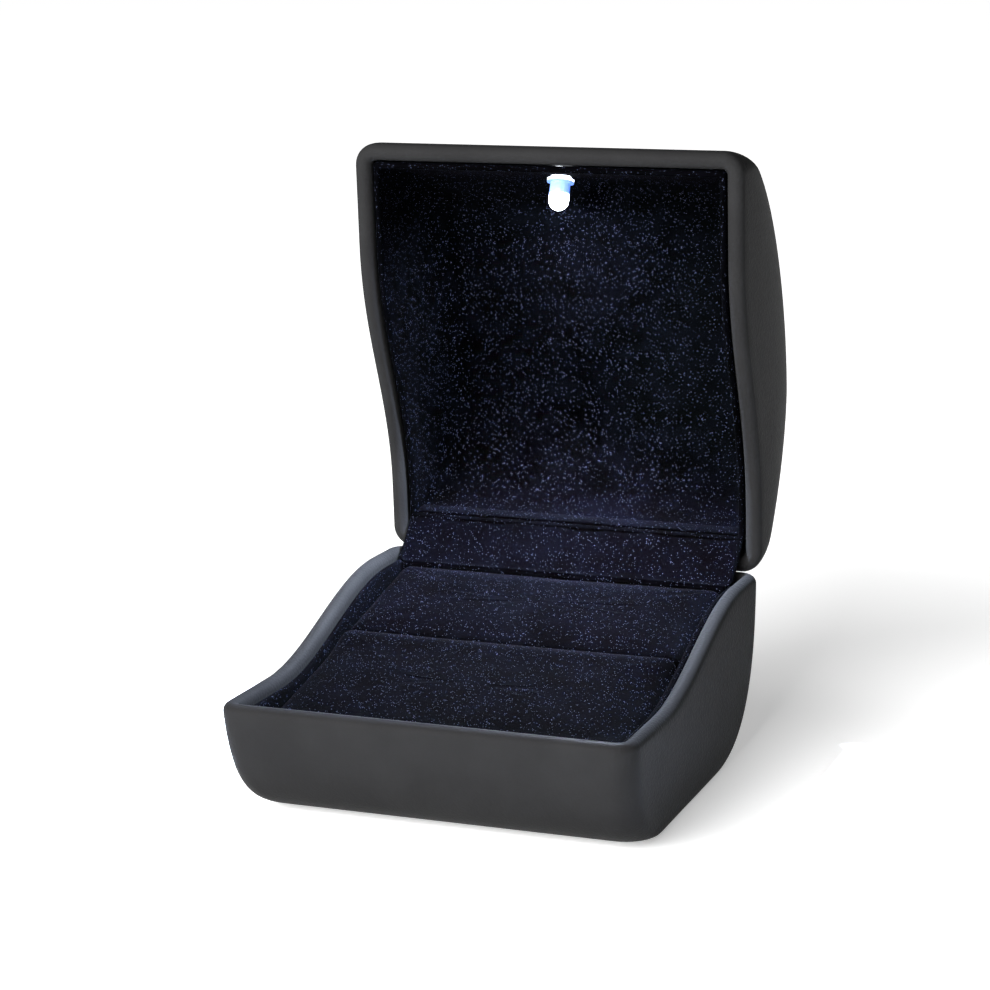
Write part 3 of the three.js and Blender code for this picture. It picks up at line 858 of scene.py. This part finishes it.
# ---------- the ring pad ----------
@dataclass
class Roll:
    """One velvet roll of the ring pad: a foam block with soft shoulders."""

    form: Form
    name: str
    node: str
    y0: float
    y1: float
    front: bool
    bottom: float = 8.0
    top_middle: float = 19.3
    slope: float = 0.2
    shoulder: float = 2.0
    crown: float = 0.7
    lip: float = 0.9

    def top(self, y: np.ndarray) -> np.ndarray:
        """Height of the roll: a slope that climbs to the back, with a lip beside the slit.

        Args:
            y: distances along the box.

        Returns:
            The heights.
        """
        lift = self.lip * np.exp(-(((y - self.y1) / 5.0) ** 2)) if self.front else 0.0
        return self.top_middle + self.slope * y + lift

    def outline(self, inset: float, low: float) -> np.ndarray:
        """A rounded rectangle that keeps clear of the tray.

        Args:
            inset: how far inside the roll's own edge.
            low: 0 at the top of the side wall and 1 at its foot.

        Returns:
            (n, 2) points.
        """
        f = self.form
        off = f.gap + f.tray + f.gap
        ends = []
        for y in (self.y0, self.y1):
            z = np.array([self.top(np.array(y)) * (1 - low) + self.bottom * low])
            ends.append(f.cavity_inset(z, np.array([y]), off)[:, 0])
        half_x = f.half_w - max(ends[0][0], ends[1][0]) - inset
        y0 = self.y0 if not self.front else -(f.half_d - ends[0][1])
        y1 = self.y1 if self.front else f.half_d - f.rear_room - ends[1][1]
        y0, y1 = y0 + inset, y1 - inset
        r = max(1.6 - inset * 0.5, 0.5)
        r = min(r, (y1 - y0) * 0.45, half_x * 0.45)
        s = f.stations(8, 22, 40)
        x = s[:, 0] * (half_x - r) + r * np.cos(s[:, 2])
        y = s[:, 1] * ((y1 - y0) / 2 - r) + r * np.sin(s[:, 2]) + (y0 + y1) / 2
        return np.stack([x, y], 1)

    def shape(self) -> bpy.types.Object:
        """The roll before it is filled: upright sides, a quarter-round shoulder and a crowned top.

        Returns:
            The piece.
        """
        loops = []
        for low in np.linspace(1, 0, 9):
            flat = self.outline(0.0, low)
            ceiling = self.top(flat[:, 1]) - self.shoulder
            loops.append(np.column_stack([flat, self.bottom + (ceiling - self.bottom) * (1 - low)]))
        for a in np.linspace(0, math.pi / 2, 8)[1:]:
            flat = self.outline(self.shoulder * (1 - math.cos(a)), 0.0)
            loops.append(np.column_stack([flat, self.top(flat[:, 1]) - self.shoulder * (1 - math.sin(a))]))
        depth = (self.y1 - self.y0) / 2 - self.shoulder
        for share in np.linspace(0.08, 0.92, 12):
            flat = self.outline(self.shoulder + share * depth, 0.0)
            loops.append(np.column_stack([flat, self.top(flat[:, 1]) + self.crown * (1 - (1 - share) ** 2)]))
        middle = loops[-1].mean(0)
        foot = loops[0].mean(0)
        return closed_skin(self.name, np.stack(loops), tuple(foot), tuple(middle))

    def fill(self, piece: bpy.types.Object, cap: float = 0.45 * MM, frames: int = 20) -> None:
        """Blows the cover out over its filling, with the sides and the foot held.

        Args:
            piece: the roll.
            cap: the furthest a point may move, in metres.
            frames: how long the cover settles.
        """
        rest = np.array([v.co for v in piece.data.vertices])
        height = rest[:, 2] / MM - self.top(rest[:, 1] / MM)
        held = piece.vertex_groups.new(name="held")
        for index in np.nonzero(height < -self.shoulder * 1.6)[0]:
            held.add([int(index)], 1.0, "REPLACE")
        step = piece.modifiers.new("fill", "CLOTH")
        cloth = step.settings
        cloth.use_pressure, cloth.uniform_pressure_force = True, 4.0
        cloth.vertex_group_mass = "held"
        cloth.effector_weights.gravity = 0.0
        cloth.mass, cloth.quality = 0.05, 6
        cloth.tension_stiffness = cloth.compression_stiffness = 20.0
        cloth.bending_stiffness = 1.5
        step.point_cache.frame_start, step.point_cache.frame_end = 1, frames
        scene = bpy.context.scene
        for number in range(1, frames + 1):
            scene.frame_set(number)
        settled = piece.evaluated_get(bpy.context.evaluated_depsgraph_get()).data
        moved = np.array([v.co for v in settled.vertices]) - rest
        piece.modifiers.clear()
        piece.vertex_groups.clear()
        scene.frame_set(1)
        length = np.linalg.norm(moved, axis=1, keepdims=True)
        moved *= np.minimum(1, cap / np.maximum(length, 1e-12))
        piece.data.vertices.foreach_set("co", (rest + moved).ravel())
        piece.data.update()

    def build(self, material: bpy.types.Material) -> bpy.types.Object:
        """Builds, fills and dresses the roll.

        Args:
            material: its velvet.

        Returns:
            The piece.
        """
        piece = self.shape()
        self.fill(piece)
        soften = piece.modifiers.new("soften", "SUBSURF")
        soften.levels = soften.render_levels = 1
        dress(piece, material)
        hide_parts(self.node)
        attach(piece, "base")
        return piece


# ---------- the hinge band ----------
@dataclass
class Band:
    """The velvet band that hides the hinges, tucked in behind the pad and into the lid tray."""

    form: Form
    half_w: float = 26.0
    spread: float = 1.0
    thick: float = 0.4
    sag: float = 0.7

    def line(self) -> np.ndarray:
        """The band's middle line from side to side of the hinge, as y and z.

        Returns:
            (n, 2) points, evenly spread.
        """
        f = self.form
        rear = f.half_d - f.rear_room - f.wall - f.gap
        up = f.opened(np.array([[0, rear - 0.45, f.part_back + 0.95], [0, rear - 1.15, f.part_back + 1.6],
                                [0, rear - 1.25, f.part_back + 4.2]]))[:, 1:]
        knots = np.array([[rear - 1.2, 22.6], [rear - 1.2, 25.0], [rear - 0.5, 26.0], *up])
        steps = np.linspace(0, len(knots) - 1, 60)
        i = np.clip(steps.astype(int), 0, len(knots) - 2)
        t = (steps - i)[:, None]
        before, after = knots[np.maximum(i - 1, 0)], knots[np.minimum(i + 2, len(knots) - 1)]
        a, b = knots[i], knots[i + 1]
        return 0.5 * (2 * a + (b - before) * t + (2 * before - 5 * a + 4 * b - after) * t ** 2
                      + (3 * a - before - 3 * b + after) * t ** 3)

    def build(self, material: bpy.types.Material) -> bpy.types.Object:
        """Builds the band: its line swept across the box, sagging between its ends with faint ripples.

        Args:
            material: its velvet.

        Returns:
            The piece.
        """
        line = self.line()
        u = np.linspace(0, 1, len(line))
        free = np.sin(np.clip((u - 0.3) / 0.45, 0, 1) * math.pi)
        width = 1 + self.spread / self.half_w * np.minimum(1, 1.6 * free)
        x = np.linspace(-self.half_w, self.half_w, 90)
        wave = 0.65 + 0.2 * np.sin(x * 0.37 + 0.8) + 0.15 * np.sin(x * 0.93)
        drop = np.outer(free, wave) * self.sag
        run = np.gradient(line, axis=0)
        run /= np.linalg.norm(run, axis=1, keepdims=True)
        y = line[:, :1] - drop * run[:, 1:] * -1
        z = line[:, 1:] - drop * run[:, :1]
        grid = np.stack([np.outer(width, x), y, z], -1)
        rows, count = y.shape
        i = np.arange(rows - 1)[:, None] * count + np.arange(count - 1)
        quads = np.stack([i, i + 1, i + count + 1, i + count], -1).reshape(-1, 4)
        piece = mesh_object("hinge_band", grid.reshape(-1, 3) * MM, [quads])
        thick = piece.modifiers.new("thickness", "SOLIDIFY")
        thick.thickness, thick.offset = self.thick * MM, 0.0
        dress(piece, material)
        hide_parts("hinge_flap")
        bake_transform(piece)
        return piece


# ---------- carried-over parts ----------
@dataclass
class Hardware:
    """The modelled parts that are shown as they are: hinges, screws, lamp, board and cells."""

    finishes: dict
    frame: dict

    def build(self) -> list:
        """Gives every node its material, a softened edge and its slot.

        Returns:
            The pieces.
        """
        slots = {row["node"]: row["material_slot"] for row in self.frame["record"]["subparts"]}
        made = []
        for name, obj in self.frame["nodes"].items():
            if obj.hide_render:
                continue
            finish = Finish(slots[name])
            dress(obj, self.finishes[finish])
            obj.data.shade_smooth()
            obj.data.set_sharp_from_angle(angle=math.radians(35))
            made.append(obj)
        return made


@dataclass
class Lamp:
    """The light that the lamp throws on the lining and the pad."""

    form: Form
    beams: tuple = (
        ("lamp_beam", 2.2, 112.0, (0.0, -0.35, -0.94)),
        ("lamp_halo", 0.3, 180.0, (0.0, 0.2, -0.98)),
    )

    def place(self) -> tuple:
        """Where the lamp's tip is and which way it points, with the lid open.

        Returns:
            The point in metres and the direction.
        """
        low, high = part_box("lamp_led")
        turned = math.radians(self.form.open_angle + 22.0)
        ahead = Vector((0, math.cos(turned), -math.sin(turned)))
        middle = (low + high) / 2
        return middle + ahead * 1.2 * MM, ahead

    def build(self) -> list:
        """Adds the lamp's light, which moves with the lid: a beam on the pad and a halo near the lamp.

        Returns:
            The lights.
        """
        point, ahead = self.place()
        made = []
        for name, power, cone, aim in self.beams:
            data = bpy.data.lights.new(name, "SPOT")
            data.energy, data.color = power, (0.7, 0.8, 1.0)
            data.spot_size, data.spot_blend = math.radians(cone), 0.9
            data.shadow_soft_size = 1.6 * MM
            glow = bpy.data.objects.new(name, data)
            bpy.context.scene.collection.objects.link(glow)
            glow.location = point + ahead * 3.4 * MM
            glow.rotation_mode = "QUATERNION"
            glow.rotation_quaternion = Vector(aim).to_track_quat("-Z", "Y")
            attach(glow, "lid")
            made.append(glow)
        return made


# ---------- the studio ----------
@dataclass
class Studio:
    """Pale floor, soft lights and the camera."""

    target: tuple = (-0.89 * MM, 0.0, 42.62 * MM)
    azimuth: float = 19.93
    elevation: float = 11.32
    distance: float = 379 * MM
    lens: float = 96.6
    lights: tuple = (
        ("key", (-0.35, -0.85, 0.42), (1.0, 0.6), 33.0),
        ("top", (-0.3, -0.1, 0.95), (0.5, 0.5), 1.5),
    )

    def floor(self) -> bpy.types.Object:
        """A wide pale floor that glows as painted light, weaker near the box and stronger far off.

        Returns:
            The floor.
        """
        radius = 40.0 * eased(30, 3.0)[1:]
        a = np.linspace(0, 2 * math.pi, 49)[:-1]
        rings = np.stack([np.outer(radius, np.cos(a)), np.outer(radius, np.sin(a)),
                          np.full((len(radius), len(a)), -0.00005)], -1)
        points = np.concatenate([[[0, 0, -0.00005]], rings.reshape(-1, 3)])
        i, j = np.arange(48), (np.arange(48) + 1) % 48
        start = 1 + np.arange(len(radius) - 1)[:, None] * 48
        quads = np.stack([start + i, start + 48 + i, start + 48 + j, start + j], -1).reshape(-1, 4)
        fan = np.stack([np.zeros(48, int), 1 + i, 1 + j], -1)
        piece = mesh_object("floor", points, [fan, quads])
        n = Nodes("floor_paint")
        n.put(n.shader, "Base Color", n.mix(n.noise(3.0), (0.93, 0.93, 0.93, 1), (0.95, 0.95, 0.95, 1)))
        n.put(n.shader, "Roughness", 0.9)
        # painted light: the floor glows, weakly near the box and strongly far away, standing in for a
        # brightly lit studio floor
        n.put(n.shader, "Emission Color", (1, 1, 1, 1))
        away = n.add("ShaderNodeVectorMath", {0: n.place}, operation="LENGTH").outputs["Value"]
        lift = n.add("ShaderNodeMapRange", {0: away, 1: 0.12, 2: 0.9, 3: 0.38, 4: 0.85}).outputs[0]
        n.put(n.shader, "Emission Strength", lift)
        piece.data.materials.append(n.material)
        return piece

    def light(self) -> None:
        """Adds the soft lights and the pale surroundings."""
        for name, place, size, power in self.lights:
            data = bpy.data.lights.new(name, "AREA")
            data.shape, data.size, data.size_y, data.energy = "RECTANGLE", size[0], size[1], power
            obj = bpy.data.objects.new(name, data)
            bpy.context.scene.collection.objects.link(obj)
            obj.location = place
            obj.rotation_mode = "QUATERNION"
            obj.rotation_quaternion = (Vector(self.target) - Vector(place)).to_track_quat("-Z", "Y")
        world = bpy.data.worlds.new("surroundings")
        world.use_nodes = True
        back = world.node_tree.nodes["Background"]
        back.inputs[0].default_value = (1, 1, 1, 1)
        back.inputs[1].default_value = 0.16
        bpy.context.scene.world = world
        bpy.context.scene.view_settings.view_transform = "Standard"

    def camera(self) -> None:
        """Adds the camera."""
        a, e = math.radians(self.azimuth), math.radians(self.elevation)
        back = Vector((math.sin(a) * math.cos(e), -math.cos(a) * math.cos(e), math.sin(e)))
        data = bpy.data.cameras.new("camera")
        data.lens, data.sensor_width = self.lens, 36.0
        data.clip_start, data.clip_end = 0.01, 200.0
        cam = bpy.data.objects.new("camera", data)
        bpy.context.scene.collection.objects.link(cam)
        cam.location = Vector(self.target) + back * self.distance
        cam.rotation_mode = "QUATERNION"
        cam.rotation_quaternion = (-back).to_track_quat("-Z", "Y")
        bpy.context.scene.camera = cam

    def build(self) -> None:
        """Sets the stage."""
        self.floor()
        self.light()
        self.camera()


def lamp_tip(low: Vector) -> Vector:
    """The middle of the lamp's rounded tip, one lamp radius in from its box.

    Args:
        low: the box's lowest corner.

    Returns:
        The point.
    """
    return Vector((0, low.y + 1.5 * MM, low.z + 1.5 * MM))


def main() -> None:
    """Builds every piece in order."""
    logging.basicConfig(level=logging.INFO, format="%(message)s")
    form = Form()
    lens = LampLens(tip=tuple(lamp_tip(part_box("lamp_led")[0])))
    finishes = {
        Finish.SKIN: Leatherette().make(),
        Finish.VELVET: Velvet().make(),
        Finish.CARD: Plain("card", (0.2, 0.19, 0.17, 1), 0.0, 0.85, 0.1, 2000).make(),
        Finish.STEEL: Plain("steel", (0.6, 0.6, 0.62, 1), 1.0, 0.28).make(),
        Finish.LENS: lens.make(),
        Finish.GLASS: Plain("reed_glass", (0.7, 0.85, 0.75, 1), 0.0, 0.05, 0.05).make(),
        Finish.BOARD: Plain("circuit_board", (0.03, 0.2, 0.08, 1), 0.0, 0.35).make(),
        Finish.BLACK: Plain("black_plastic", (0.02, 0.02, 0.02, 1), 0.0, 0.5).make(),
        Finish.RED: Plain("red_plastic", (0.5, 0.02, 0.02, 1), 0.0, 0.4).make(),
    }
    velvet = finishes[Finish.VELVET]
    pieces = [
        *Base(form, finishes).build(),
        *Lid(form, finishes).build(),
        Roll(form, "pad_front", "ring_pad_front_roll", -28.5, 3.2, True).build(velvet),
        Roll(form, "pad_rear", "ring_pad_rear_roll", 3.8, 26.5, False, slope=0.22).build(velvet),
        Band(form).build(velvet),
        *Hardware(finishes, frame).build(),
        *Lamp(form).build(),
    ]
    for piece in pieces:
        log.info("built %s", piece.name)
    Studio().build()


if __name__ == "__main__":
    main()
